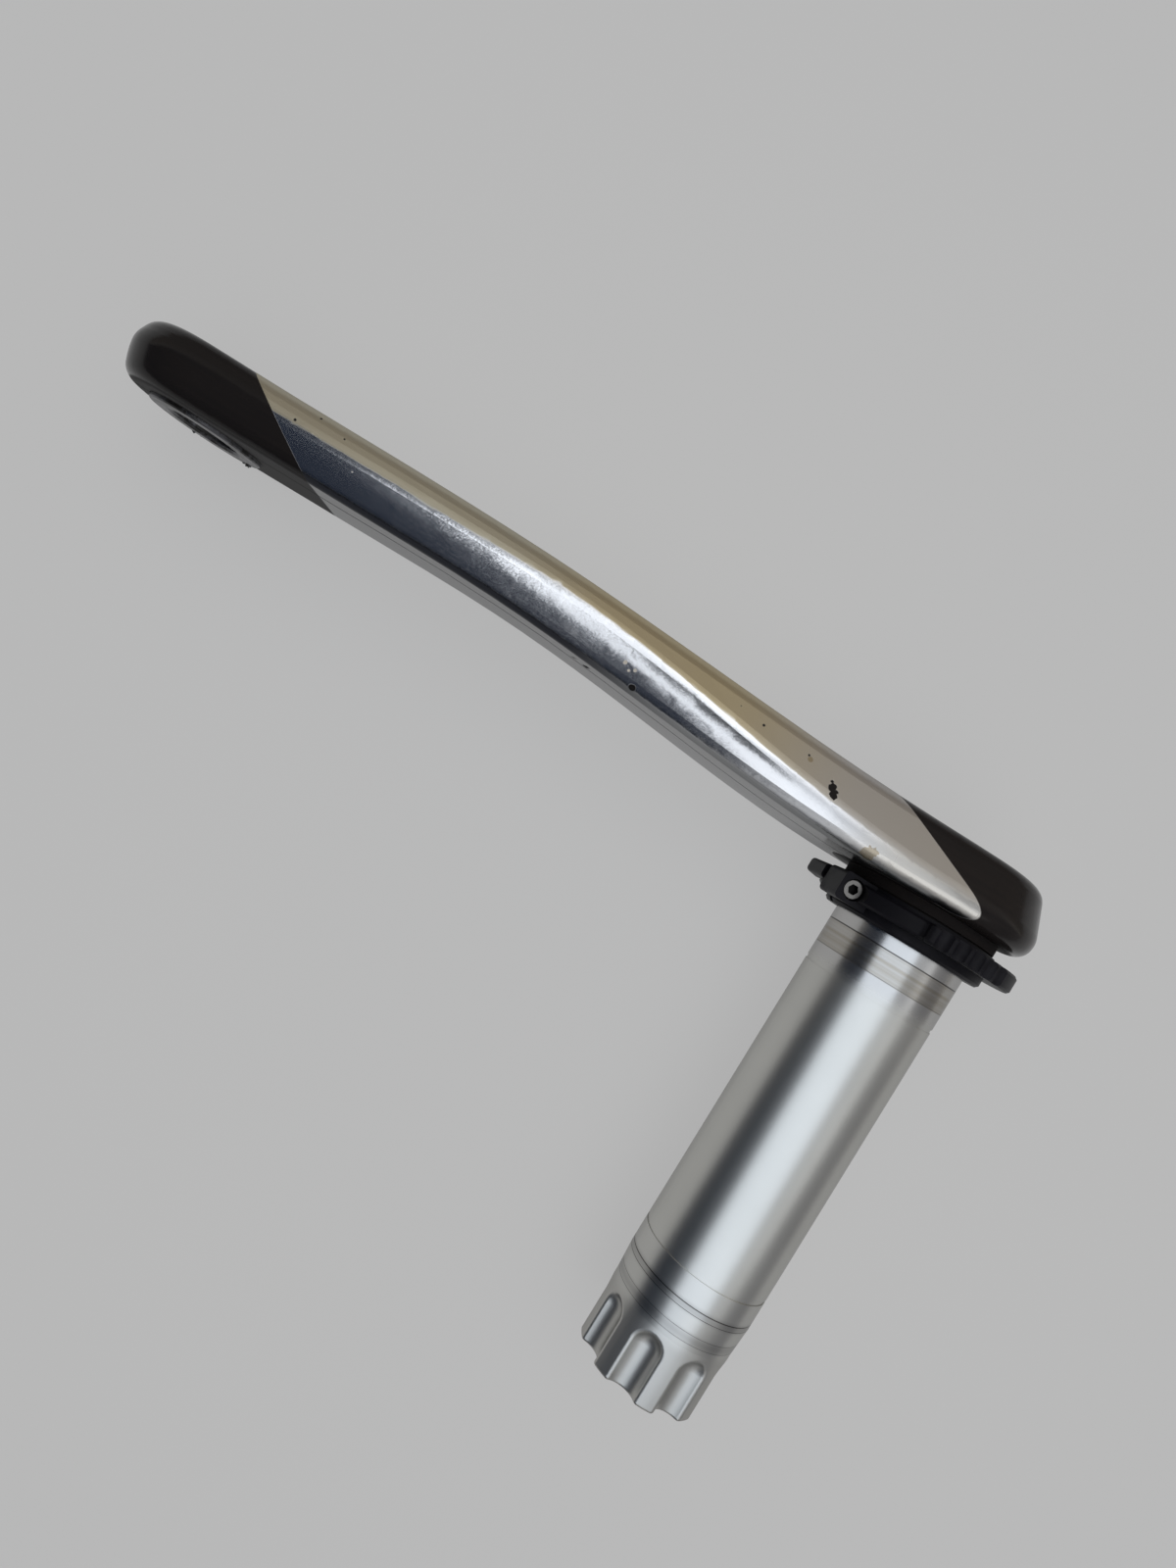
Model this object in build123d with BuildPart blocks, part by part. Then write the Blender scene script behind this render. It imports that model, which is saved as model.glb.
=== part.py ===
"""Left crank arm of a bicycle, with its spindle, pedal insert, preload ring and pinch bolt.

X runs from the spindle to the pedal, Y along the spindle to its free end, and Z is up as the arm
lies on its side. The origin is on the spindle axis, in the plane of the ring's bearing face.
"""

import os
from math import radians, sqrt, tan

from build123d import *

# Arm: half widths at the crease, and depths outboard of the ring's bearing face
arm_length = 172.5
boss_half_width = 22.55
blade_half_width = 17.25
pedal_half_width = 18.35
boss_inboard = 9.2
boss_crease = 13.8
boss_outboard = 24.7
blade_inboard = 14.9
blade_crease = 22.8
blade_outboard = 28.0
pedal_inboard = 14.3
pedal_crease = 21.8
pedal_outboard = 27.1

# Arm section: both sides lean in from the crease, the inboard one bulged by a share of its depth,
# the outboard face is crowned and the corners are round
outboard_draft = 18.0
inboard_draft = 15.0
inboard_bulge = 0.055
crown_radius = 125.0
outboard_round = 3.6
crease_round = 5.0
inboard_round = 3.4

# Arm bends: one runs from the boss to the blade, a shorter one from the blade to the pedal end
section_count = 12
bend_start = 15.0
bend_length = 95.0
inboard_lag = 5.0
crease_lead = 7.0
pedal_bend_start = 115.0
pedal_bend_length = 57.0

# Spindle, a tube with two bearing seats
spindle_radius = 14.495
spindle_reach = 105.2
spindle_embed = 12.0
spindle_wall = 2.8
near_seat_length = 12.0
far_seat_start = 77.5
far_seat_length = 6.4
relief_width = 0.8
relief_depth = 0.2
root_step = 0.9
shoulder_length = 6.6
bolt_thread_radius = 9.0
bolt_thread_length = 22.0

# Flutes milled into the free end of the spindle, with rounded lobes between them
flute_count = 8
flute_length = 9.9
flute_radius = 3.6
flute_floor_radius = 11.7
flute_phase = 63.5
lobe_radius = 14.1
lobe_round = 0.9
lobe_end_round = 0.6

# Threaded collar on the arm, and the ring that turns on it
collar_root_radius = 17.0
collar_thread_radius = 16.0
ring_thread_gap = 0.05
ring_lip_gap = 0.085
ring_end_gap = 0.4
ring_length = 6.8
ring_lip = 1.5
hub_radius = 17.6
hub_chamfer = 0.6
flange_inset = 2.2
flange_depth = 3.8
grip_radius = 23.0
grip_height = 2.6
grip_start = 74.0
outline_round = 1.2
rim_chamfer = 0.5
notch_count = 5
notch_pitch = 9.6
notch_start = 82.5
notch_radius = 1.8
notch_depth = 0.9

# Clamp ears on both sides of the split: the upper one is deep, the lower one slim and tapered
ear_reach = 21.3
lower_ear_reach = 21.8
ear_half_length = 10.4
upper_ear_inset = 0.9
lower_ear_inset = 2.3
lower_tip_inset = 3.4
lower_ear_depth = 4.2
ear_round = 0.9
split_width = 1.6

# Pinch bolt across the split
pinch_offset = 18.2
pinch_level = 3.9
pinch_radius = 1.2
pinch_clearance = 0.1
pinch_thread_gap = 0.05
pinch_head_radius = 2.1
pinch_head_gap = 0.15
pinch_head_length = 2.4
pinch_head_inset = 0.6
pinch_length = 15.0
pinch_socket_width = 2.0
pinch_socket_depth = 1.3
pinch_chamfer = 0.25

# Pedal insert
pedal_thread_radius = 7.0
insert_radius = 10.0
insert_rim_radius = 11.4
insert_rim = 1.1
insert_seat_depth = 0.3
insert_chamfer = 0.5
pedal_pad_radius = 12.0
pedal_pad_depth = 0.7

# Bonded joints keep a thin film, and cutting tools run past the faces that they cut
bond_gap = 0.03
overrun = 12.0

# Places that follow from the sizes above
insert_inner = -pedal_inboard - insert_seat_depth
insert_outer = -pedal_outboard + pedal_pad_depth
spindle_root = -boss_inboard - spindle_embed
root_radius = spindle_radius - root_step
relief_radius = spindle_radius - relief_depth
bore_radius = spindle_radius - spindle_wall
far_seat_end = far_seat_start + far_seat_length
lobe_start = far_seat_end + shoulder_length
flute_start = spindle_reach - flute_length
collar_shoulder = -ring_length - ring_end_gap
collar_end = -ring_lip - ring_end_gap
ring_bore = collar_thread_radius + ring_thread_gap
lip_bore = spindle_radius + ring_lip_gap
window_radius = grip_radius - grip_height
pinch_head_top = ear_half_length - pinch_head_inset
pinch_seat = pinch_head_top - pinch_head_length


def across_arm(place):
    """Plane across the arm, with its local x along Y and its local y along Z."""
    return Plane(origin=(place, 0, 0), x_dir=(0, 1, 0), z_dir=(1, 0, 0))


def at_level(level, place=0):
    """Plane square to the spindle that faces outboard, with its local y along Z."""
    return Plane(origin=(place, level, 0), x_dir=(1, 0, 0), z_dir=(0, -1, 0))


def ease(place, start, length):
    """Smooth share that grows from 0 at the start of a bend to 1 at its end."""
    share = min(max((place - start) / length, 0), 1)
    return share * share * (3 - 2 * share)


def along_arm(place, boss_value, blade_value, pedal_value, start):
    """Value at a place along the arm, eased from boss to blade and from blade to pedal end."""
    to_blade = ease(place, start, bend_length)
    to_pedal = ease(place, pedal_bend_start, pedal_bend_length)
    return boss_value + (blade_value - boss_value) * to_blade + (pedal_value - blade_value) * to_pedal


def arm_section(place, upper_half=False):
    """Section across the arm at a place, or only the half of it above the middle."""
    half = along_arm(place, boss_half_width, blade_half_width, pedal_half_width, 0)
    inboard = -along_arm(place, boss_inboard, blade_inboard, pedal_inboard, bend_start + inboard_lag)
    crease = -along_arm(place, boss_crease, blade_crease, pedal_crease, bend_start - crease_lead)
    outboard = -along_arm(place, boss_outboard, blade_outboard, pedal_outboard, bend_start)
    inboard_half = half - (inboard - crease) * tan(radians(inboard_draft))
    outboard_half = half - (crease - outboard) * tan(radians(outboard_draft))
    edge = outboard + crown_radius - sqrt(crown_radius**2 - outboard_half**2)
    bulge = inboard_bulge * (inboard - crease)
    bulge_level = (inboard + crease) / 2 + bulge * tan(radians(inboard_draft))
    bulge_half = (inboard_half + half) / 2 + bulge
    with BuildSketch(across_arm(place)) as section:
        with BuildLine():
            ThreePointArc((inboard, inboard_half), (bulge_level, bulge_half), (crease, half))
            Line((crease, half), (edge, outboard_half))
            if upper_half:
                TangentArc((outboard, 0), (edge, outboard_half), tangent=(0, 1))
                Polyline((outboard, 0), (inboard, 0), (inboard, inboard_half))
            else:
                ThreePointArc((edge, outboard_half), (outboard, 0), (edge, -outboard_half))
                Line((edge, -outboard_half), (crease, -half))
                ThreePointArc((crease, -half), (bulge_level, -bulge_half), (inboard, -inboard_half))
                Line((inboard, -inboard_half), (inboard, inboard_half))
        make_face()
        for level, reach, round_radius in (
            (edge, outboard_half, outboard_round),
            (crease, half, crease_round),
            (inboard, inboard_half, inboard_round),
        ):
            corners = section.vertices().filter_by(
                lambda corner: abs(corner.X - level) < bond_gap and abs(abs(corner.Y) - reach) < bond_gap
            )
            fillet(corners, round_radius)
    return section.sketch


# Crank arm: a blade that is widest at its crease, with a boss, a collar and a pedal eye
with BuildPart() as crank_arm:
    loft(sections=[arm_section(arm_length * step / section_count) for step in range(section_count + 1)])
    revolve(
        profiles=arm_section(0, upper_half=True),
        axis=Axis((0, 0, 0), (0, -1, 0)),
        revolution_arc=180,
    )
    revolve(
        profiles=arm_section(arm_length, upper_half=True),
        axis=Axis((arm_length, 0, 0), (0, 1, 0)),
        revolution_arc=180,
    )
    with BuildSketch(at_level(collar_shoulder)):
        Circle(collar_root_radius)
    extrude(amount=boss_inboard + collar_shoulder + spindle_embed)
    with BuildSketch(at_level(collar_end)):
        Circle(collar_thread_radius)
    extrude(amount=boss_inboard + collar_end + spindle_embed)
    with BuildSketch(at_level(collar_end)):
        Circle(root_radius + bond_gap)
    extrude(amount=collar_end - spindle_root + bond_gap, mode=Mode.SUBTRACT)
    with BuildSketch(at_level(overrun, arm_length)):
        Circle(insert_radius + bond_gap)
    extrude(amount=overrun + pedal_outboard + overrun, mode=Mode.SUBTRACT)
    with BuildSketch(at_level(overrun, arm_length)):
        Circle(insert_rim_radius + bond_gap)
    extrude(amount=overrun - insert_inner, mode=Mode.SUBTRACT)
    with BuildSketch(at_level(insert_outer, arm_length)):
        Circle(pedal_pad_radius)
    extrude(amount=overrun, mode=Mode.SUBTRACT)

# Pedal insert: a flanged metal bush bonded into the pedal eye
with BuildPart() as pedal_insert:
    with BuildSketch(at_level(insert_inner + insert_rim, arm_length)):
        Circle(insert_rim_radius)
    extrude(amount=insert_rim)
    with BuildSketch(at_level(insert_inner, arm_length)):
        Circle(insert_radius)
    extrude(amount=insert_inner - insert_outer)
    with BuildSketch(at_level(insert_inner + insert_rim, arm_length)):
        Circle(pedal_thread_radius)
    extrude(amount=insert_rim + insert_inner - insert_outer, mode=Mode.SUBTRACT)
    mouths = pedal_insert.edges().filter_by(GeomType.CIRCLE).filter_by(
        lambda edge: abs(edge.radius - pedal_thread_radius) < bond_gap
    )
    chamfer(mouths, insert_chamfer)
    chamfer(pedal_insert.faces().sort_by(Axis.Y)[-1].outer_wire().edges(), insert_chamfer / 2)

# Spindle: a turned tube, stepped inside for the bolt's thread, with flutes milled into its free end
with BuildPart() as spindle:
    with BuildSketch(Plane.XY):
        with BuildLine():
            Polyline(
                (bore_radius, spindle_root),
                (root_radius, spindle_root),
                (root_radius, 0),
                (spindle_radius, 0),
                (spindle_radius, near_seat_length),
                (relief_radius, near_seat_length),
                (relief_radius, near_seat_length + relief_width),
                (spindle_radius, near_seat_length + relief_width),
                (spindle_radius, far_seat_start - relief_width),
                (relief_radius, far_seat_start - relief_width),
                (relief_radius, far_seat_start),
                (spindle_radius, far_seat_start),
                (spindle_radius, far_seat_end),
                (lobe_radius, lobe_start),
                (lobe_radius, spindle_reach),
                (bolt_thread_radius, spindle_reach),
                (bolt_thread_radius, spindle_reach - bolt_thread_length),
                (bore_radius, spindle_reach - bolt_thread_length - bore_radius + bolt_thread_radius),
                close=True,
            )
        make_face()
    revolve(axis=Axis.Y)
    with BuildSketch(at_level(spindle_reach + overrun)):
        with PolarLocations(flute_floor_radius + flute_radius, flute_count, flute_phase):
            Circle(flute_radius)
    extrude(amount=flute_length + overrun, mode=Mode.SUBTRACT)
    with Locations(at_level(flute_start)):
        with PolarLocations(flute_floor_radius + flute_radius, flute_count, flute_phase):
            Sphere(flute_radius, mode=Mode.SUBTRACT)
    lobe_edges = spindle.edges().filter_by(
        lambda edge: edge.center().Y > lobe_start
        and edge.center().Y < spindle_reach
        and Vector(edge.center().X, edge.center().Z).length > flute_floor_radius + lobe_round
    )
    fillet(lobe_edges, lobe_round)
    fillet(spindle.faces().sort_by(Axis.Y)[-1].outer_wire().edges(), lobe_end_round)

# Preload ring: a moulded split ring with a gripped rim and two clamp ears
with BuildPart() as preload_ring:
    with BuildSketch(at_level(-flange_inset)) as flange:
        Circle(window_radius)
        with BuildLine():
            rim = CenterArc((0, 0), grip_radius, grip_start, 360 - 2 * grip_start)
            Polyline(rim @ 1, (0, 0), rim @ 0)
        make_face()
        fillet(flange.vertices(), outline_round)
    extrude(amount=flange_depth)
    chamfer(preload_ring.faces().sort_by(Axis.Y)[-1].edges(), rim_chamfer)
    chamfer(preload_ring.faces().sort_by(Axis.Y)[0].edges(), rim_chamfer)
    with BuildSketch(Plane.XY) as upper_ear:
        with BuildLine():
            Polyline(
                (0, -upper_ear_inset),
                (ear_reach, -upper_ear_inset),
                (ear_reach, -ring_length),
                (0, -ring_length),
                close=True,
            )
        make_face()
        fillet(upper_ear.vertices().filter_by(lambda corner: corner.X > hub_radius), ear_round)
    extrude(amount=ear_half_length)
    with BuildSketch(Plane.XY) as lower_ear:
        with BuildLine():
            Polyline(
                (0, -lower_ear_inset),
                (lip_bore, -lower_ear_inset),
                (lower_ear_reach, -lower_tip_inset),
                (lower_ear_reach, -lower_ear_inset - lower_ear_depth),
                (0, -lower_ear_inset - lower_ear_depth),
                close=True,
            )
        make_face()
        fillet(lower_ear.vertices().filter_by(lambda corner: corner.X > hub_radius), ear_round)
    extrude(amount=-ear_half_length)
    with BuildSketch(Plane.XY):
        with BuildLine():
            Polyline(
                (0, 0),
                (hub_radius - hub_chamfer, 0),
                (hub_radius, -hub_chamfer),
                (hub_radius, -ring_length),
                (0, -ring_length),
                close=True,
            )
        make_face()
    revolve(axis=Axis.Y)
    with BuildSketch(at_level(overrun)):
        for start in (notch_start, -notch_start - (notch_count - 1) * notch_pitch):
            with PolarLocations(
                grip_radius + notch_radius - notch_depth,
                notch_count,
                start,
                (notch_count - 1) * notch_pitch,
                endpoint=True,
            ):
                Circle(notch_radius)
    extrude(amount=ring_length + 2 * overrun, mode=Mode.SUBTRACT)
    with BuildSketch(at_level(-ring_lip)):
        Circle(ring_bore)
    extrude(amount=ring_length, mode=Mode.SUBTRACT)
    with BuildSketch(at_level(overrun)):
        Circle(lip_bore)
    extrude(amount=ring_length + 2 * overrun, mode=Mode.SUBTRACT)
    with BuildSketch(at_level(overrun)):
        with Locations((ear_reach, 0)):
            Rectangle(2 * ear_reach, split_width)
    extrude(amount=ring_length + 2 * overrun, mode=Mode.SUBTRACT)
    with BuildSketch(Plane.XY.offset(-ear_half_length - overrun)):
        with Locations((pinch_offset, -pinch_level)):
            Circle(pinch_radius + pinch_thread_gap)
    extrude(amount=ear_half_length + overrun, mode=Mode.SUBTRACT)
    with BuildSketch(Plane.XY):
        with Locations((pinch_offset, -pinch_level)):
            Circle(pinch_radius + pinch_clearance)
    extrude(amount=pinch_seat, mode=Mode.SUBTRACT)
    with BuildSketch(Plane.XY.offset(pinch_seat)):
        with Locations((pinch_offset, -pinch_level)):
            Circle(pinch_head_radius + pinch_head_gap)
    extrude(amount=pinch_head_length + overrun, mode=Mode.SUBTRACT)

# Pinch bolt: a socket screw that closes the split
with BuildPart() as pinch_bolt:
    with BuildSketch(Plane.XY.offset(pinch_seat)):
        with Locations((pinch_offset, -pinch_level)):
            Circle(pinch_head_radius)
    extrude(amount=pinch_head_length)
    chamfer(pinch_bolt.faces().sort_by(Axis.Z)[-1].edges(), pinch_chamfer)
    with BuildSketch(Plane.XY.offset(pinch_seat)):
        with Locations((pinch_offset, -pinch_level)):
            Circle(pinch_radius)
    extrude(amount=-pinch_length)
    chamfer(pinch_bolt.faces().sort_by(Axis.Z)[0].edges(), pinch_chamfer)
    with BuildSketch(Plane.XY.offset(pinch_head_top)):
        with Locations((pinch_offset, -pinch_level)):
            RegularPolygon(pinch_socket_width / 2, 6, major_radius=False)
    extrude(amount=-pinch_socket_depth, mode=Mode.SUBTRACT)

# One file for each piece
os.makedirs("parts", exist_ok=True)
pieces = {
    "crank_arm": crank_arm,
    "pedal_insert": pedal_insert,
    "spindle": spindle,
    "preload_ring": preload_ring,
    "pinch_bolt": pinch_bolt,
}
for name, piece in pieces.items():
    piece.part.label = name
    export_step(piece.part, f"parts/{name}.step")
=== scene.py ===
# %% [markdown]
# # A bicycle crank arm, dressed for its picture
#
# The part is the left crank arm of a bicycle: a bonded fibre blade under a bright metal film, with
# a hollow aluminium spindle, a clamped plastic ring and a metal bush for the pedal. The solids come
# from CAD. This lesson gives them their finishes, adds the fine threads and the old grease that the
# solids leave out, and sets up the light and the camera. Blender's lengths are metres, so a size
# that a maker would give in millimetres is multiplied by MM.

from math import cos, pi, sin

import bmesh
import bpy
from mathutils import Matrix, Vector
from mathutils import noise as lumps


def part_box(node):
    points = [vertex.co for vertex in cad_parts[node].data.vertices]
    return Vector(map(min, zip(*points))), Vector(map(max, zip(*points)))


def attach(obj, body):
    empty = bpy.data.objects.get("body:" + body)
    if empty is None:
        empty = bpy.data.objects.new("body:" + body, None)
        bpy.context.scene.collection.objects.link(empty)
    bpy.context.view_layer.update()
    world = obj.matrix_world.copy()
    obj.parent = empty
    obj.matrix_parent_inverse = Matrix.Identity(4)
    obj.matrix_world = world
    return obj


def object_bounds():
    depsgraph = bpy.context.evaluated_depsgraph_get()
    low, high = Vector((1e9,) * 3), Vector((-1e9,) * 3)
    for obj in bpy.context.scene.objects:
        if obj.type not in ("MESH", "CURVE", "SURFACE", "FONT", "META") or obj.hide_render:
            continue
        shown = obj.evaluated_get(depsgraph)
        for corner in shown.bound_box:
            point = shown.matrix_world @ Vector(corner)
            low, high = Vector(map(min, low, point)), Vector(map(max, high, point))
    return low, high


MM = 0.001
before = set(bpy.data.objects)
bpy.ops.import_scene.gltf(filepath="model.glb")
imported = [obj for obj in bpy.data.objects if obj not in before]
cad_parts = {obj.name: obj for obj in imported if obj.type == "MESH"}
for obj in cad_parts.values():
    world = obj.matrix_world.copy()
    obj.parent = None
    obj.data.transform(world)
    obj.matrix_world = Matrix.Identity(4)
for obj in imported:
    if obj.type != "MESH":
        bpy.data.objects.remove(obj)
cad_box = [list(corner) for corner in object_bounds()]
print("solids:", sorted(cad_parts))

# %% [markdown]
# ## The camera
#
# The photograph looks almost straight down on an arm that lies on its side. Apart from its lens, a
# camera is set by where it stands and by two directions of its picture: which way is right and
# which way is down. The third direction, into the picture, is square to both. Writing the camera's
# matrix from these three is easier to check than three rotation angles.

# %% Camera
camera_place = Vector((92.47, 4.65, 197.92)) * MM
picture_right = Vector((-0.8493, -0.5220, 0.0790)).normalized()
picture_down = Vector((-0.5192, 0.8529, 0.0545))
into_picture = picture_right.cross(picture_down).normalized()
picture_up = picture_right.cross(into_picture)
picture_height = 1600
focal_pixels = 998
nearest_seen = 10 * MM

camera_data = bpy.data.cameras.new("photo_camera")
camera_data.sensor_width = 36
camera_data.lens = camera_data.sensor_width * focal_pixels / picture_height
camera_data.clip_start = nearest_seen
camera = bpy.data.objects.new("photo_camera", camera_data)
camera_turn = Matrix((picture_right, picture_up, -into_picture)).transposed()
camera.matrix_world = Matrix.Translation(camera_place) @ camera_turn.to_4x4()
bpy.context.scene.collection.objects.link(camera)
bpy.context.scene.camera = camera
bpy.context.scene.view_settings.view_transform = "Standard"
print("camera lens", round(camera_data.lens, 2), "mm")

# %% [markdown]
# ## Small helpers for shader nodes
#
# A finish is a little network of nodes. Making a node, setting its values and joining it to the
# ones before takes three or four lines each time, so one helper does it: a value that is itself a
# node's output is joined with a link, and anything else is typed into the socket.


# %% Node helpers
def add_node(tree, kind, settings=None, **inputs):
    """A node of that kind, with its settings and inputs; returns the node."""
    node = tree.nodes.new(kind)
    for name, value in (settings or {}).items():
        setattr(node, name, value)
    for name, value in inputs.items():
        place = int(name[1:]) if name[1:].isdigit() else name.replace("_", " ")
        socket = node.inputs[place]
        if isinstance(value, bpy.types.NodeSocket):
            tree.links.new(value, socket)
        else:
            socket.default_value = value
    return node


def math(tree, operation, *values):
    """Result of a math node on one, two or three values."""
    inputs = {f"i{number}": value for number, value in enumerate(values)}
    return add_node(tree, "ShaderNodeMath", {"operation": operation}, **inputs).outputs[0]


def vectors(tree, operation, first, second):
    """Result of a vector math node on two vectors."""
    settings = {"operation": operation}
    return add_node(tree, "ShaderNodeVectorMath", settings, i0=first, i1=second).outputs[0]


print("made add_node, math and vectors")

# %% [markdown]
# ## Helpers for masks and mixes
#
# Most finishes are mixes: one colour here, another one there, and a change between them. A mask is
# a number from 0 to 1 at each spot that says which of the two shows. A ramp makes a mask from any
# measure, such as a distance along the arm, and gives the change a soft start and end.


# %% Mask and mix helpers
def ramp(tree, value, low, high):
    """Smooth share: 0 where the value is at low, 1 where it is at high."""
    settings = {"interpolation_type": "SMOOTHSTEP"}
    node = add_node(tree, "ShaderNodeMapRange", settings, Value=value, From_Min=low, From_Max=high)
    return node.outputs["Result"]


def between(tree, value, low, high, soft):
    """1 where the value lies between low and high, fading over soft at both ends."""
    rise = ramp(tree, value, low - soft, low + soft)
    fall = ramp(tree, value, high + soft, high - soft)
    return math(tree, "MULTIPLY", rise, fall)


def mix_colors(tree, share, first, second):
    """Colour that goes from the first to the second as the share goes from 0 to 1."""
    node = add_node(tree, "ShaderNodeMix", {"data_type": "RGBA"})
    for name, value in (("Factor", share), ("A", first), ("B", second)):
        socket = next(s for s in node.inputs if s.name == name and s.enabled)
        if isinstance(value, bpy.types.NodeSocket):
            tree.links.new(value, socket)
        elif name == "Factor":
            socket.default_value = value
        else:
            socket.default_value = (*value, 1)
    return next(s for s in node.outputs if s.enabled)


def mix_values(tree, share, first, second):
    """Number that goes from the first to the second as the share goes from 0 to 1."""
    node = add_node(tree, "ShaderNodeMapRange", {}, Value=share, To_Min=first, To_Max=second)
    return node.outputs["Result"]


print("made ramp, between, mix_colors and mix_values")

# %% [markdown]
# ## Helpers for whole finishes
#
# A finish starts from the Principled shader, which covers metal, plastic and paper. Its masks read
# object coordinates. A CAD node keeps its place in its mesh, so these are the part's own
# coordinates, and a mask stays on the part in every view and in every pose. Noise, which gives
# colours and heights their irregular look, is worked out from them too, so it needs no picture.


# %% Texture helpers
def noise(tree, vector, scale, detail=2.0, roughness=0.5):
    """Even random value from 0 to 1 with blotches of about 1/scale metres."""
    inputs = {"Vector": vector, "Scale": scale, "Detail": detail, "Roughness": roughness}
    return add_node(tree, "ShaderNodeTexNoise", {}, **inputs).outputs["Fac"]


def bump(tree, height, depth, strength=1.0):
    """Surface direction tilted by a height map; depth is the height of a full step in metres."""
    inputs = {"Height": height, "Distance": depth, "Strength": strength}
    return add_node(tree, "ShaderNodeBump", {}, **inputs).outputs["Normal"]


print("made noise and bump")


# %% Finish helpers
def new_finish(name, **constants):
    """Material with one Principled shader; returns it, its node tree and the shader's inputs."""
    material = bpy.data.materials.new(name)
    material.use_nodes = True
    inputs = material.node_tree.nodes["Principled BSDF"].inputs
    for socket, value in constants.items():
        inputs[socket.replace("_", " ")].default_value = value
    return material, material.node_tree, inputs


def places(tree):
    """Object coordinates in metres and their three parts."""
    spot = add_node(tree, "ShaderNodeTexCoord").outputs["Object"]
    parts = add_node(tree, "ShaderNodeSeparateXYZ", {}, Vector=spot).outputs
    return spot, parts["X"], parts["Y"], parts["Z"]


def dress(node_name, material):
    """Gives a CAD node its finish."""
    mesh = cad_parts[node_name].data
    mesh.materials.clear()
    mesh.materials.append(material)
    print(node_name, "wears", material.name)


print("made new_finish, places and dress")

# %% [markdown]
# ## The table
#
# The arm lies on plain grey paper, as high as the lowest point of the solids. The photograph's
# background is one even grey with hardly a shadow. Paper under lamps would be brighter in its
# middle, so most of this grey glows by itself where the camera or a mirror sees the table, and only
# a small share of it is lit. For light that bounces from it to the part it is plain paper.

# %% Table
floor_level = cad_box[0][2]
floor_half = 3.0
floor_corners = ((-1, -1), (1, -1), (1, 1), (-1, 1))
floor_mesh = bpy.data.meshes.new("table")
corners = [(x * floor_half, y * floor_half, floor_level) for x, y in floor_corners]
floor_mesh.from_pydata(corners, [], [(0, 1, 2, 3)])
floor = bpy.data.objects.new("table", floor_mesh)
bpy.context.scene.collection.objects.link(floor)
print("table at", round(floor_level / MM, 1), "mm")

# %% Table's paper
table_grey, unevenness = 0.508, 0.004
paper_blotches = 6.0
own_glow = 0.80
paper, tree, _ = new_finish("table_paper", Roughness=1.0, Specular_IOR_Level=0.0)
blotch = noise(tree, places(tree)[0], paper_blotches)
darkest, lightest = (1 - unevenness) * table_grey, (1 + unevenness) * table_grey
shade = mix_values(tree, blotch, darkest, lightest)
rays = add_node(tree, "ShaderNodeLightPath").outputs
seen = math(tree, "MAXIMUM", rays["Is Camera Ray"], rays["Is Glossy Ray"])
seen = math(tree, "MAXIMUM", seen, rays["Is Transmission Ray"])
glow = add_node(tree, "ShaderNodeEmission", {}, Color=shade, Strength=own_glow).outputs[0]
lit_share = math(tree, "MULTIPLY", shade, 1 - own_glow)
faint = add_node(tree, "ShaderNodeBsdfDiffuse", {}, Color=lit_share).outputs[0]
plain = add_node(tree, "ShaderNodeBsdfDiffuse", {}, Color=shade).outputs[0]
even = add_node(tree, "ShaderNodeAddShader", {}, i0=faint, i1=glow).outputs[0]
either = add_node(tree, "ShaderNodeMixShader", {}, Fac=seen, i1=plain, i2=even).outputs[0]
tree.links.new(either, tree.nodes["Material Output"].inputs["Surface"])
floor_mesh.materials.append(paper)
print("table wears", paper.name)

# %% [markdown]
# ## The room
#
# Polished metal has hardly any colour of its own: what we see in it is the room. Here the world's
# colour depends on the direction, given by two angles from straight up, one towards the pedal and
# one along the spindle. A grey wall stands on the side away from the pedal, and a warm wall tints
# the arm's outer face. The side of the pedal is nearly black, which gives the film its navy band,
# and so is a strip behind the lamps. The camera sees the table's grey instead, so that the
# background goes on past the table.

# %% Directions in the room
world = bpy.data.worlds.new("studio")
world.use_nodes = True
bpy.context.scene.world = world
tree = world.node_tree
toward = add_node(tree, "ShaderNodeTexCoord").outputs["Generated"]
parts = add_node(tree, "ShaderNodeSeparateXYZ", {}, Vector=toward).outputs
lean_x = math(tree, "DEGREES", math(tree, "ARCTAN2", parts["X"], parts["Z"]))
lean_y = math(tree, "DEGREES", math(tree, "ARCTAN2", parts["Y"], parts["Z"]))
print("room measured in degrees from straight up")

# %% Walls of the room
side_near, side_far = (0.47, 0.47, 0.47), (0.19, 0.19, 0.20)
warm_high, warm_mid, warm_low = (0.72, 0.69, 0.63), (0.28, 0.25, 0.215), (0.19, 0.17, 0.15)
warm_far = (0.46, 0.44, 0.405)
side_fades, warm_starts = (-22, -75), (-12, -28)
far_starts, mid_starts, low_starts = (4, 16), (-30, -56), (-56, -80)
side_wall = mix_colors(tree, ramp(tree, lean_x, *side_fades), side_near, side_far)
warm_wall = mix_colors(tree, ramp(tree, lean_x, *far_starts), warm_high, warm_far)
warm_wall = mix_colors(tree, ramp(tree, lean_y, *mid_starts), warm_wall, warm_mid)
warm_wall = mix_colors(tree, ramp(tree, lean_y, *low_starts), warm_wall, warm_low)
room = mix_colors(tree, ramp(tree, lean_y, *warm_starts), side_wall, warm_wall)
print("room walls", side_near, warm_high)

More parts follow.
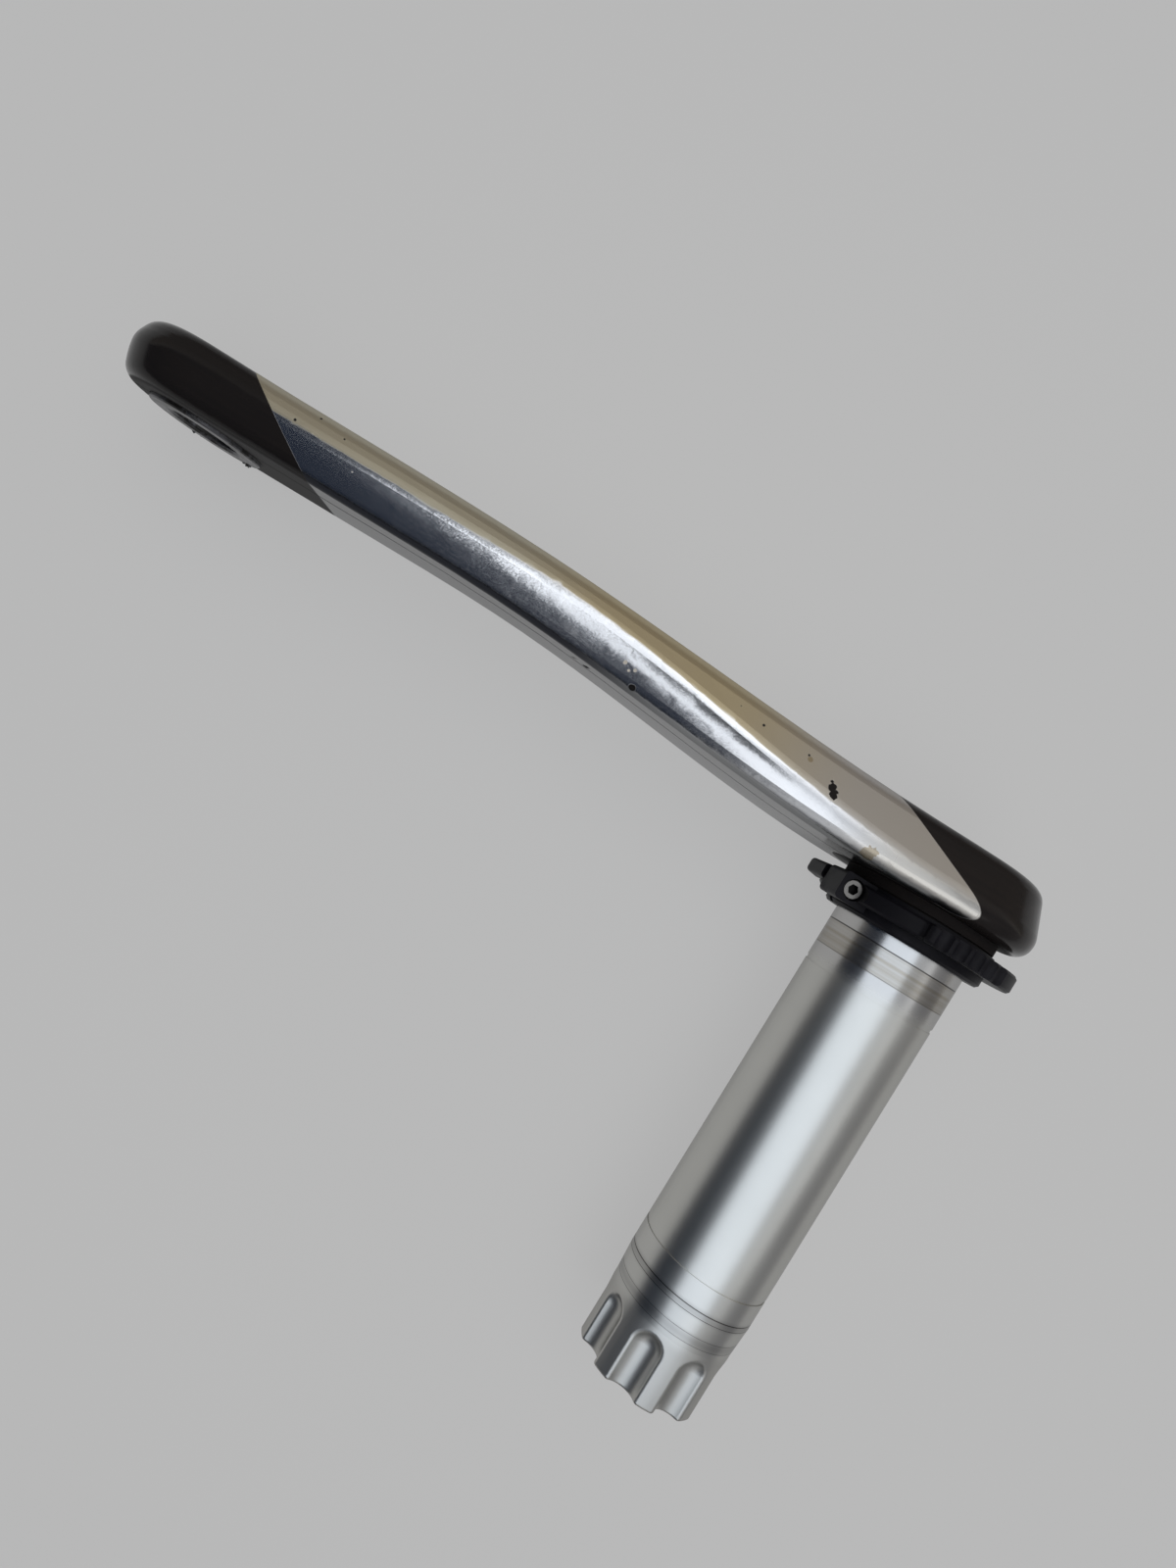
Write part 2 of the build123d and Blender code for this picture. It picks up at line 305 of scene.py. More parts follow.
# %% Dark side of the room
dark_side = (0.013, 0.018, 0.030)
dark_starts_x, dark_starts_y = (-8, 5), (-32, -18)
strip_low, strip_high, strip_soft = -6, 30, 8
strip_starts = (-45, -28)
dark_x, dark_y = ramp(tree, lean_x, *dark_starts_x), ramp(tree, lean_y, *dark_starts_y)
strip = between(tree, lean_y, strip_low, strip_high, strip_soft)
behind_boxes = math(tree, "MULTIPLY", strip, ramp(tree, lean_x, *strip_starts))
dark = math(tree, "MAXIMUM", math(tree, "MULTIPLY", dark_x, dark_y), behind_boxes)
room = mix_colors(tree, dark, room, dark_side)
rays = add_node(tree, "ShaderNodeLightPath").outputs
backdrop = math(tree, "MAXIMUM", rays["Is Camera Ray"], rays["Is Transmission Ray"])
room = mix_colors(tree, backdrop, room, (table_grey, table_grey, table_grey))
tree.links.new(room, tree.nodes["Background"].inputs["Color"])
print("dark side", dark_side)

# %% [markdown]
# ## Soft boxes over the arm
#
# Metal is photographed under large, soft lamps, because it shows the lamp's own shape. Four flat
# lamps hang low over the arm and face down. The largest of them gives the film its sheen, and the
# others add to it where the photograph is brighter, along the streak and by the edges of the blade.
# Where two overlap, one hangs a little lower, since in a mirror two lamps in one plane don't add
# up. A big fifth lamp high above fills the shadows, and mirrors don't show it.

# %% Soft box helper
box_turn = -0.796
box_height = 260 * MM
lamp_color = (0.96, 0.98, 1.0)


def soft_box(name, along, across, brightness, height=box_height, turn=box_turn, color=lamp_color):
    """Lamp that faces down; ranges along and across its own turned axes in millimetres."""
    box_along = Vector((cos(turn), sin(turn), 0))
    box_across = Vector((-sin(turn), cos(turn), 0))
    lamp = bpy.data.lights.new(name, "AREA")
    lamp.shape = "RECTANGLE"
    lamp.size = (along[1] - along[0]) * MM
    lamp.size_y = (across[1] - across[0]) * MM
    lamp.energy = brightness * pi * lamp.size * lamp.size_y
    lamp.color = color
    box = bpy.data.objects.new(name, lamp)
    box.location = (box_along * sum(along) / 2 + box_across * sum(across) / 2) * MM
    box.location.z = height
    box.rotation_euler.z = turn
    box.visible_camera = False
    bpy.context.scene.collection.objects.link(box)
    print(name, round(lamp.size, 2), "by", round(lamp.size_y, 2), "m")
    return box


# %% Boxes over the arm
lower, lowest = box_height - 6 * MM, box_height - 12 * MM
fill_height = 1.3
arm_boxes = [
    soft_box("arm_box", (-270, 150), (-80, 114), 0.66),
    soft_box("streak_box", (-75, 150), (48, 120), 0.45, lower),
    soft_box("edge_box", (60, 150), (-45, 110), 0.35, lowest),
    soft_box("far_edge_box", (150, 300), (-45, 48), 0.30, lowest),
]
fill = soft_box("fill_box", (-900, 1000), (-900, 900), 1.1, fill_height)
fill.visible_glossy = False

# %% [markdown]
# ## Lamps for the spindle alone
#
# The spindle lies across the arm, and lamps that suit the one don't suit the other. Light linking
# says which objects a lamp lights. The spindle is put in two collections: its own two lamps light
# only what is in the first, and the arm's four lamps leave out what is in the second. One of its
# lamps is cool and bright, like the highlight in the photograph, and the other is dimmer.

# %% Boxes over the spindle
spindle_turn = -1.309
spindle_height = 190 * MM
cool_color = (0.843, 0.911, 1.0)
span, bright_side, dim_side = (-215, 110), (-36, 176), (-190, -36)
spindle_boxes = [
    soft_box("spindle_box", span, bright_side, 1.34, spindle_height, spindle_turn, cool_color),
    soft_box("spindle_side_box", span, dim_side, 0.45, spindle_height, spindle_turn),
]


def link_spindle(name, boxes, state):
    """Collection with the spindle in it, which these lamps include or exclude."""
    receivers = bpy.data.collections.new(name)
    receivers.objects.link(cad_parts["spindle"])
    receivers.collection_objects[0].light_linking.link_state = state
    for box in boxes:
        box.light_linking.receiver_collection = receivers
    print(name, "for", len(boxes), "lamps")


link_spindle("spindle_only", spindle_boxes, "INCLUDE")
link_spindle("all_but_spindle", arm_boxes, "EXCLUDE")

# %% [markdown]
# ## The dark card
#
# A camera and the hands that hold it show in polished metal too, as a dark patch that splits the
# bright streak in two. A flat dark card near the lens stands in for them. It is hidden from the
# camera and from light that bounces off dull surfaces, so only mirrors show it. It still casts
# shadows, because that is how a slightly rough mirror finds out that a lamp is covered.

# %% Dark card
card_height = 200
card_outline = (
    (95, -8), (94, 9), (88, 19), (80, 26), (72, 32), (62, 37), (46, 38),
    (34, 28), (36, 6), (50, -30), (62, -36), (74, -40), (84, -26),
)
card_corners = [Vector((x, y, card_height)) * MM for x, y in card_outline]
card_mesh = bpy.data.meshes.new("dark_card")
card_mesh.from_pydata(card_corners, [], [range(len(card_corners))])
card = bpy.data.objects.new("dark_card", card_mesh)
bpy.context.scene.collection.objects.link(card)
for kind in ("visible_camera", "visible_diffuse", "visible_transmission"):
    setattr(card, kind, False)
print("card corners", len(card_corners))

# %% Card's paper
card_black, card_grey = (0.012, 0.014, 0.02), (0.02, 0.022, 0.03)
card_blotches = 40
card_paper, tree, inputs = new_finish("card_paper", Roughness=0.9)
blotch = noise(tree, places(tree)[0], card_blotches)
tree.links.new(mix_colors(tree, blotch, card_black, card_grey), inputs["Base Color"])
card_mesh.materials.append(card_paper)
print("card wears", card_paper.name)

# %% [markdown]
# ## The arm's film
#
# Most of the arm wears a thin bright film: a mirror with a fine grain on its side, and a warmer,
# softer tone on the face that points away from the bicycle. At both ends the film stops and the
# black fibre shows. The finishes could be given to separate faces, but the film's edges cross the
# CAD faces at a slant, so one material with masks does it all. Its masks use where a spot is, and
# how far the surface there faces along the spindle.

# %% Film's material
edge_tint = (0.6, 0.6, 0.6, 1)
film, tree, inputs = new_finish("film_over_fibre", Specular_Tint=edge_tint, Specular_IOR_Level=0.2)
spot, x, y, z = places(tree)
facing = add_node(tree, "ShaderNodeTexCoord").outputs["Normal"]
facing_y = add_node(tree, "ShaderNodeSeparateXYZ", {}, Vector=facing).outputs["Y"]
print("new material", film.name)

# %% [markdown]
# ## Where the film ends
#
# Seen from above, the film's edges are straight lines, each given by two points. The distance from
# such a line says how far inside the film a spot is. At the boss the film also stops at the flat
# face under the ring, and the tip between that face and the line is round. A very short ramp over
# the distance makes a mask with a clean edge.


# %% Distance helpers
def line_side(tree, x, y, first, second):
    """Distance in metres of a spot from the line through two points, positive on its left."""
    run = Vector(second) - Vector(first)
    across = Vector((-run.y, run.x)).normalized()
    part_x = math(tree, "MULTIPLY", math(tree, "SUBTRACT", x, first[0] * MM), across.x)
    part_y = math(tree, "MULTIPLY", math(tree, "SUBTRACT", y, first[1] * MM), across.y)
    return math(tree, "ADD", part_x, part_y)


def length_of(tree, first, second):
    """Length of the long side of a right triangle."""
    squares = [math(tree, "POWER", side, 2.0) for side in (first, second)]
    return math(tree, "SQRT", math(tree, "ADD", *squares))


def round_corner(tree, first, second, radius):
    """Distance inside two edges whose corner is rounded."""
    short_first = math(tree, "MAXIMUM", math(tree, "SUBTRACT", radius, first), 0.0)
    short_second = math(tree, "MAXIMUM", math(tree, "SUBTRACT", radius, second), 0.0)
    return math(tree, "SUBTRACT", radius, length_of(tree, short_first, short_second))


print("made line_side, length_of and round_corner")

# %% Film's outline
pedal_edge = ((163.9, -25.9), (147.9, -15.1))
boss_edge = ((1.67, -14.08), (21.8, -23.05))
boss_face = -9.45 * MM
boss_face_radius = 21.3 * MM
tip_round = 5.9 * MM
edge_soft = 0.06 * MM
from_axis = length_of(tree, x, z)
behind_face = math(tree, "SUBTRACT", boss_face, y)
beyond_face = math(tree, "SUBTRACT", from_axis, boss_face_radius)
off_boss_face = math(tree, "MAXIMUM", behind_face, beyond_face)
inside_boss = round_corner(tree, line_side(tree, x, y, *boss_edge), off_boss_face, tip_round)
inside = math(tree, "MINIMUM", inside_boss, line_side(tree, x, y, *pedal_edge))
film_mask = ramp(tree, inside, -edge_soft, edge_soft)
print("film ends at", pedal_edge, "and", boss_edge)

# %% [markdown]
# ## Chips and a seam
#
# The arm has been used. Small pieces of film have come off, most of them along its edges, and the
# dark fibre shows there. Each chip is a ball-shaped mask with a ragged edge, so it needs a place, a
# radius and a raggedness, and neighbours that overlap make a longer one. A fine dark seam runs
# along the inboard face, and a slow noise lets it wander.


# %% Patch helpers
def blot(tree, spot, centre, radius, ragged, seed):
    """Ragged round patch: 1 inside, 0 outside, with an uneven edge; sizes in millimetres."""
    soft, edge_waves = 0.08, 900
    middle = [part * MM for part in centre]
    settings = {"operation": "DISTANCE"}
    away = add_node(tree, "ShaderNodeVectorMath", settings, i0=spot, i1=middle).outputs["Value"]
    waves = noise(tree, vectors(tree, "ADD", spot, (seed, 0, 0)), edge_waves)
    uneven = math(tree, "MULTIPLY", math(tree, "SUBTRACT", waves, 0.5), ragged * MM)
    edge = math(tree, "ADD", away, uneven)
    return ramp(tree, edge, (radius + soft) * MM, (radius - soft) * MM)


def highest(tree, masks):
    """Largest of several masks at each spot."""
    result = masks[0]
    for mask in masks[1:]:
        result = math(tree, "MAXIMUM", result, mask)
    return result


print("made blot and highest")

# %% Chips
chips = (
    ((35.2, -16.6, 20.5), 0.95, 1.3),
    ((35.9, -17.6, 20.2), 0.90, 1.2),
    ((36.4, -18.6, 19.9), 0.40, 0.6),
    ((77.3, -14.0, 15.8), 0.75, 0.6),
    ((89.5, -13.8, 6.6), 0.50, 0.5),
    ((89.1, -13.8, 7.6), 0.40, 0.5),
    ((86.5, -13.7, 5.4), 0.50, 0.6),
    ((86.4, -13.7, 6.5), 0.75, 0.7),
    ((86.1, -13.7, 7.8), 0.60, 0.6),
    ((52.8, -20.9, 18.4), 0.3, 0.2),
    ((58.3, -21.8, 18.0), 0.2, 0.2),
    ((42.6, -20.6, 18.8), 0.25, 0.2),
    ((144.7, -24.3, 17.0), 0.2, 0.2),
    ((150.1, -25.2, 16.5), 0.25, 0.2),
    ((153.4, -22.4, 17.9), 0.3, 0.3),
)
patches = [blot(tree, spot, *chip, seed) for seed, chip in enumerate(chips)]
print("chips", len(chips))

# %% Seam
seam_low, seam_high, seam_soft = 4.6 * MM, 5.4 * MM, 0.25 * MM
seam_wander, wander_scale = 2 * MM, 60
seam_faces = (0.8, 0.9)
wander = math(tree, "MULTIPLY", noise(tree, spot, wander_scale), seam_wander)
seam = between(tree, math(tree, "ADD", z, wander), seam_low, seam_high, seam_soft)
patches.append(math(tree, "MULTIPLY", seam, ramp(tree, facing_y, *seam_faces)))
bare = highest(tree, patches)
film_mask = math(tree, "MULTIPLY", film_mask, math(tree, "SUBTRACT", 1.0, bare))
print("bare patches", len(patches))

# %% [markdown]
# ## The film's colours
#
# The side is silver, a little warmer at the boss. The outer face is champagne, paler towards the
# pedal and grey at the boss. Which of the two shows depends on the direction of the surface, so the
# change follows the rounded edge between them. The inboard face is painted darker as shade, and
# along the blade the round edge before it is painted nearly black as shade.

# %% Side and outer face
silver, warm_silver = (0.84, 0.86, 0.90), (0.74, 0.72, 0.68)
champagne, pale_champagne = (0.615, 0.535, 0.368), (0.585, 0.550, 0.445)
boss_grey = (0.575, 0.555, 0.535)
silver_warms = (36 * MM, 16 * MM)
champagne_pales, champagne_greys = (85 * MM, 112 * MM), (64 * MM, 28 * MM)
border_boss, border_blade, border_pedal = -0.06, -0.20, -0.09
border_moves, border_returns, border_soft = (25 * MM, 90 * MM), (98 * MM, 124 * MM), 0.05
border = mix_values(tree, ramp(tree, x, *border_moves), border_boss, border_blade)
border = mix_values(tree, ramp(tree, x, *border_returns), border, border_pedal)
outer_face = ramp(tree, math(tree, "SUBTRACT", facing_y, border), border_soft, -border_soft)
outer_color = mix_colors(tree, ramp(tree, x, *champagne_pales), champagne, pale_champagne)
outer_color = mix_colors(tree, ramp(tree, x, *champagne_greys), outer_color, boss_grey)
side_color = mix_colors(tree, ramp(tree, x, *silver_warms), silver, warm_silver)
film_color = mix_colors(tree, outer_face, side_color, outer_color)
print("side", silver, "outer face", champagne)

# %% Painted shade on the inboard face and lower edge
# Painted shade: the inboard face gets a darker grey, and the round edge before it a near black.
inboard_painted_shade, shaded_edge = (0.29, 0.295, 0.30), (0.035, 0.037, 0.045)
inboard_faces = (0.50, 0.85)
edge_faces_from, edge_faces_to = (0.69, 0.75), (0.999, 0.990)
edge_darkens = (62 * MM, 95 * MM)
film_color = mix_colors(tree, ramp(tree, facing_y, *inboard_faces), film_color, inboard_painted_shade)
turned_in, not_flat = ramp(tree, facing_y, *edge_faces_from), ramp(tree, facing_y, *edge_faces_to)
lower_edge = math(tree, "MULTIPLY", turned_in, not_flat)
lower_edge = math(tree, "MULTIPLY", lower_edge, ramp(tree, x, *edge_darkens))
film_color = mix_colors(tree, lower_edge, film_color, shaded_edge)
print("inboard face", inboard_painted_shade, "lower edge", shaded_edge)

# %% [markdown]
# ## Stains and dust
#
# There are two brown stains by the boss, and pale crumbs of dirt stick to the film. They use the
# same ragged mask as the chips. A stain only tints the film, and a crumb also takes away most of
# its mirror, because dirt isn't metal.

# %% Stains
stain_brown, stain_strength, stain_seed = (0.33, 0.25, 0.12), 0.6, 20
stains = (
    ((23.6, -10.7, 20.7), 1.5, 1.8),
    ((42.0, -20.0, 19.0), 0.55, 0.3),
)
masks = [blot(tree, spot, *place, stain_seed + number) for number, place in enumerate(stains)]
stain = math(tree, "MULTIPLY", highest(tree, masks), stain_strength)
film_color = mix_colors(tree, stain, film_color, stain_brown)
print("stains", len(stains))

# %% Dust
dust_color, dust_dulling, dust_seed = (0.52, 0.48, 0.42), 0.8, 40
dust_spots = (
    ((80.9, -17.2, 16.9), 0.45, 0.6),
    ((78.6, -16.9, 16.9), 0.35, 0.5),
    ((79.6, -16.3, 16.8), 0.25, 0.4),
    ((149.6, -21.9, 17.6), 0.26, 0.2),
    ((145.0, -21.0, 17.5), 0.16, 0.1),
    ((140.5, -20.0, 17.6), 0.20, 0.2),
    ((131.0, -19.6, 17.6), 0.22, 0.2),
    ((122.0, -20.8, 17.8), 0.30, 0.3),
)
masks = [blot(tree, spot, *place, dust_seed + number) for number, place in enumerate(dust_spots)]
dust = highest(tree, masks)
film_color = mix_colors(tree, dust, film_color, dust_color)
clean = math(tree, "SUBTRACT", 1.0, math(tree, "MULTIPLY", dust, dust_dulling))
tree.links.new(math(tree, "MULTIPLY", film_mask, clean), inputs["Metallic"])
print("dust spots", len(dust_spots))

# %% [markdown]
# ## Bare fibre, and how rough it all is
#
# The moulded fibre is nearly black, with faint brown strands along the arm: a noise that is
# stretched in that direction. Roughness says how blurred a mirror is. It is low on the film's side
# and higher on its outer face. Chips are torn and the collar under the ring is dull, so both are
# very rough, or they would mirror the table and look grey.

# %% Fibre
fibre_black, fibre_brown = (0.0095, 0.0088, 0.0092), (0.0175, 0.0140, 0.0128)
strand_stretch = (60, 900, 900)
brown_grows, least_brown, most_brown = (60 * MM, 20 * MM), 0.6, 1.0
strands = noise(tree, vectors(tree, "MULTIPLY", spot, strand_stretch), 1.0, 3.0)
brown_share = mix_values(tree, ramp(tree, x, *brown_grows), least_brown, most_brown)
brown_share = math(tree, "MULTIPLY", strands, brown_share)
fibre_color = mix_colors(tree, brown_share, fibre_black, fibre_brown)
tree.links.new(mix_colors(tree, film_mask, fibre_color, film_color), inputs["Base Color"])
print("fibre", fibre_black, "strands", fibre_brown)

# %% Roughness of film and fibre
rough_side, rough_pedal_side, rough_boss_side, rough_outer = 0.155, 0.20, 0.28, 0.42
rough_fibre, rough_inboard, rough_torn = 0.17, 0.60, 0.85
toward_pedal, toward_boss = (70 * MM, 108 * MM), (38 * MM, 16 * MM)
pedal_end, flat_inboard = (120 * MM, 140 * MM), (0.85, 0.95)
collar_starts = (0.0, -0.5 * MM)
side_rough = mix_values(tree, ramp(tree, x, *toward_pedal), rough_side, rough_pedal_side)
side_rough = mix_values(tree, ramp(tree, x, *toward_boss), side_rough, rough_boss_side)
film_rough = mix_values(tree, outer_face, side_rough, rough_outer)
inner_face = math(tree, "MULTIPLY", ramp(tree, facing_y, *flat_inboard), ramp(tree, x, *pedal_end))
fibre_rough = mix_values(tree, inner_face, rough_fibre, rough_inboard)
dull = math(tree, "MAXIMUM", bare, ramp(tree, off_boss_face, *collar_starts))
fibre_rough = mix_values(tree, dull, fibre_rough, rough_torn)
tree.links.new(mix_values(tree, film_mask, fibre_rough, film_rough), inputs["Roughness"])
print("roughness of side", rough_side, "outer face", rough_outer, "chips", rough_torn)

# %% [markdown]
# ## The film's flakes
#
# Close up the film glitters, as if tiny flakes lay in it at slightly different angles. A Voronoi
# texture gives each cell of about 0.2 mm a random colour, and that colour, taken as a direction,
# tilts the surface a little. Near the middle of the boss's outer face one point of the CAD mesh has
# a wrong surface direction, so there the plain direction of each triangle is used. A small bump
# sinks the chips below the film.

# %% How far the flakes lean
flake_scale = 4600
lean_boss, lean_blade, lean_pedal, outer_calm = 0.020, 0.045, 0.026, 0.9
lean_returns = (118 * MM, 145 * MM)
flakes = add_node(tree, "ShaderNodeTexVoronoi", {}, Vector=spot, Scale=flake_scale).outputs["Color"]
lean = vectors(tree, "SUBTRACT", flakes, (0.5, 0.5, 0.5))
amount = mix_values(tree, ramp(tree, x, *toward_pedal), lean_boss, lean_blade)
amount = mix_values(tree, ramp(tree, x, *lean_returns), amount, lean_pedal)
flaky = math(tree, "SUBTRACT", film_mask, math(tree, "MULTIPLY", outer_face, outer_calm))
amount = math(tree, "MULTIPLY", amount, flaky)
by_amount = {"operation": "SCALE"}
lean = add_node(tree, "ShaderNodeVectorMath", by_amount, Vector=lean, Scale=amount).outputs[0]
print("flakes lean by", lean_boss, "to", lean_blade)

# %% Film's surface direction
pole_radius, pole_level = (6.2 * MM, 5.6 * MM), (-20 * MM, -22 * MM)
film_height, film_strength = 0.02 * MM, 0.6
surface = add_node(tree, "ShaderNodeNewGeometry").outputs
at_pole = math(tree, "MULTIPLY", ramp(tree, from_axis, *pole_radius), ramp(tree, y, *pole_level))
straight = mix_colors(tree, at_pole, surface["Normal"], surface["True Normal"])
tilted = vectors(tree, "ADD", straight, lean)
to_length_one = {"operation": "NORMALIZE"}
tilted = add_node(tree, "ShaderNodeVectorMath", to_length_one, i0=tilted).outputs[0]
film_step = {"Height": film_mask, "Distance": film_height, "Strength": film_strength}
stepped = add_node(tree, "ShaderNodeBump", {}, Normal=tilted, **film_step).outputs["Normal"]
tree.links.new(stepped, inputs["Normal"])
dress("crank_arm", film)

# %% [markdown]
# ## The spindle
#
# The spindle is a turned aluminium tube. Its middle is blasted to an even satin, the two bearing
# seats are turned bright, and the fluted end is milled. The bands are told apart by how far along
# the spindle a spot lies. Turning leaves rings: a noise that depends on the length alone is the
# same all the way round, which is just what a lathe does.

# %% Spindle's bands
seat_end, far_start, flute_start = 12.0 * MM, 77.5 * MM, 90.5 * MM
seat_fades, far_soft, flute_soft, far_shine = (1.5 * MM, -3.0 * MM), 0.2 * MM, 2 * MM, 0.22
metal_tint = (0.7, 0.7, 0.7, 1)
spindle_metal, tree, inputs = new_finish("spindle_aluminium", Metallic=1.0, Specular_Tint=metal_tint)
spot, _, y, _ = places(tree)
near_seat = ramp(tree, y, *[seat_end + fade for fade in seat_fades])
far_seat = between(tree, y, far_start, flute_start, far_soft)
milled = ramp(tree, y, flute_start - flute_soft, flute_start + flute_soft)
turned = math(tree, "MAXIMUM", near_seat, math(tree, "MULTIPLY", far_seat, far_shine))
print("spindle bands at", [round(end / MM, 1) for end in (seat_end, far_start, flute_start)], "mm")

# %% Marks of the tools
ring_stretch, wide_ring_stretch = (0, 4000, 0), (0, 420, 0)
blast_grain, cloud_blotches = 5200, 90
rings = noise(tree, vectors(tree, "MULTIPLY", spot, ring_stretch), 1.0, 3.0, 0.7)
wide_rings = noise(tree, vectors(tree, "MULTIPLY", spot, wide_ring_stretch), 1.0, 2.0, 0.6)
blast = noise(tree, spot, blast_grain, 2.0, 0.6)
cloud = noise(tree, spot, cloud_blotches, 3.0, 0.5)
print("rings", ring_stretch, "and", wide_ring_stretch, "blasted grain", blast_grain)

# %% Painted groove lines round the spindle
line_soft = 0.06 * MM
# Painted shade: each line stands for a fine groove, darkened in colour and sunk a little by the
# bump.
painted_groove_lines = ((2.8, 0.26), (8.4, 0.10), (82.6, 0.22), (83.8, 0.12), (87.4, 0.08), (89.3, 0.08))
masks = []
for place, width in painted_groove_lines:
    low, high = (place - width / 2) * MM, (place + width / 2) * MM
    masks.append(between(tree, y, low, high, line_soft))
lines = highest(tree, masks)
print("lines round the spindle", len(painted_groove_lines))

# %% [markdown]
# ## The spindle's metal
#
# Each band gets its own colour. A bearing has rubbed the near seat brown in places, and that brown
# is darker than wear alone, as painted shade beside the arm. Two soft dark bands lie by the far
# seat, and thin dark lines are painted shade of fine grooves, which the bump also sinks a little.
# Then roughness and a very low bump follow the same bands, fine grains on the satin and rings where
# it is turned, so that light and colour agree.

# %% Satin, seats and milled end
satin_dark, satin_light = (0.590, 0.588, 0.558), (0.652, 0.648, 0.616)
# Painted shade as well as wear: the near seat's brown is darker than rubbing alone, for the shade
# beside the arm.
seat_bright, seat_brown_and_shade = (0.56, 0.555, 0.545), (0.37, 0.34, 0.285)
milled_grey, milled_strength = (0.515, 0.508, 0.485), 0.8
rub_low, rub_high, rub_soft, rub_shows = 2.9 * MM, 8.5 * MM, 0.3 * MM, (0.75, 0.30)
satin = mix_colors(tree, cloud, satin_dark, satin_light)
rubbed_and_shaded = between(tree, y, rub_low, rub_high, rub_soft)
rubbed_and_shaded = math(tree, "MULTIPLY", rubbed_and_shaded, ramp(tree, wide_rings, *rub_shows))
metal_color = mix_colors(tree, turned, satin, mix_colors(tree, rubbed_and_shaded, seat_bright, seat_brown_and_shade))
milled_share = math(tree, "MULTIPLY", milled, milled_strength)
metal_color = mix_colors(tree, milled_share, metal_color, milled_grey)
print("satin from", satin_dark, "to", satin_light)

# %% Dark bands and painted groove lines
dark_band_grey, dark_band_strength = (0.26, 0.255, 0.25), 0.45
groove_shade_dark, groove_shade_strength = (0.05, 0.046, 0.042), 0.9
dark_bands = ((82.2, 83.9, 0.7), (87.4, 89.2, 0.9))
masks = [between(tree, y, low * MM, high * MM, soft * MM) for low, high, soft in dark_bands]
dark_band = math(tree, "MULTIPLY", highest(tree, masks), dark_band_strength)
metal_color = mix_colors(tree, dark_band, metal_color, dark_band_grey)
# Painted shade of the grooves is mixed in along each line.
groove_shade_share = math(tree, "MULTIPLY", lines, groove_shade_strength)
metal_color = mix_colors(tree, groove_shade_share, metal_color, groove_shade_dark)
tree.links.new(metal_color, inputs["Base Color"])
print("dark_bands", len(dark_bands))

# %% Spindle's roughness and grain
rough_satin, rough_turned, rough_milled = (0.29, 0.37), (0.16, 0.28), 0.40
ring_part, grain_part, line_part = 0.4, 0.5, 2.0
grain_height, grain_strength = 0.010 * MM, 0.4
satin_rough = mix_values(tree, blast, *rough_satin)
turned_rough = mix_values(tree, rings, *rough_turned)
metal_rough = mix_values(tree, turned, satin_rough, turned_rough)
tree.links.new(mix_values(tree, milled, metal_rough, rough_milled), inputs["Roughness"])
ring_height = math(tree, "MULTIPLY", math(tree, "ADD", rings, wide_rings), turned)
ring_height = math(tree, "MULTIPLY", ring_height, ring_part)
blast_height = math(tree, "MULTIPLY", blast, math(tree, "SUBTRACT", 1.0, turned))
blast_height = math(tree, "MULTIPLY", blast_height, grain_part)
height = math(tree, "ADD", ring_height, blast_height)
height = math(tree, "SUBTRACT", height, math(tree, "MULTIPLY", lines, line_part))
tree.links.new(bump(tree, height, grain_height, grain_strength), inputs["Normal"])
dress("spindle", spindle_metal)

# %% [markdown]
# ## The ring
#
# The ring is a matte black moulding. Pure black would look like a hole in the picture, and nothing
# moulded is perfectly black or smooth. So it is a very dark grey with a fine grain from the mould,
# and slow blotches of dust make it a little lighter and rougher in places.

# %% Ring finish
ring_black, ring_dusty = (0.0062, 0.0060, 0.0080), (0.0125, 0.0122, 0.0155)
mould_grain, dust_blotches, dust_shows = 3800, 160, (0.45, 0.8)
rough_clean, rough_dusty = 0.42, 0.56
mould_height, mould_strength = 0.02 * MM, 0.5
moulding, tree, inputs = new_finish("ring_moulding", Specular_IOR_Level=0.12)
spot = places(tree)[0]
grain = noise(tree, spot, mould_grain, 2.0)
ring_dust = ramp(tree, noise(tree, spot, dust_blotches, 4.0, 0.6), *dust_shows)
tree.links.new(mix_colors(tree, ring_dust, ring_black, ring_dusty), inputs["Base Color"])
tree.links.new(mix_values(tree, ring_dust, rough_clean, rough_dusty), inputs["Roughness"])
tree.links.new(bump(tree, grain, mould_height, mould_strength), inputs["Normal"])
dress("preload_ring", moulding)

# %% [markdown]
# ## The bolt
#
# The pinch bolt is plain steel, a little worn, and its socket is painted black as shade. A dark disc
# could be put there, but a mask needs no extra piece and follows the socket's own walls: the painted
# shade lies where a spot is close to the bolt's axis and below the top of its head.

# %% Painted shade in the bolt's socket
bolt_x, bolt_y = 18.2 * MM, -3.9 * MM
socket_radius = (1.30 * MM, 1.22 * MM)
socket_level = 9.5 * MM
steel, tree, inputs = new_finish("worn_steel", Metallic=1.0)
spot, x, y, z = places(tree)
off_x, off_y = math(tree, "SUBTRACT", x, bolt_x), math(tree, "SUBTRACT", y, bolt_y)
in_socket = ramp(tree, length_of(tree, off_x, off_y), *socket_radius)
below_top = ramp(tree, z, socket_level + 0.2 * MM, socket_level - 0.1 * MM)
socket_shade = math(tree, "MULTIPLY", in_socket, below_top)
print("socket at", round(bolt_x / MM, 1), round(bolt_y / MM, 1), "mm")

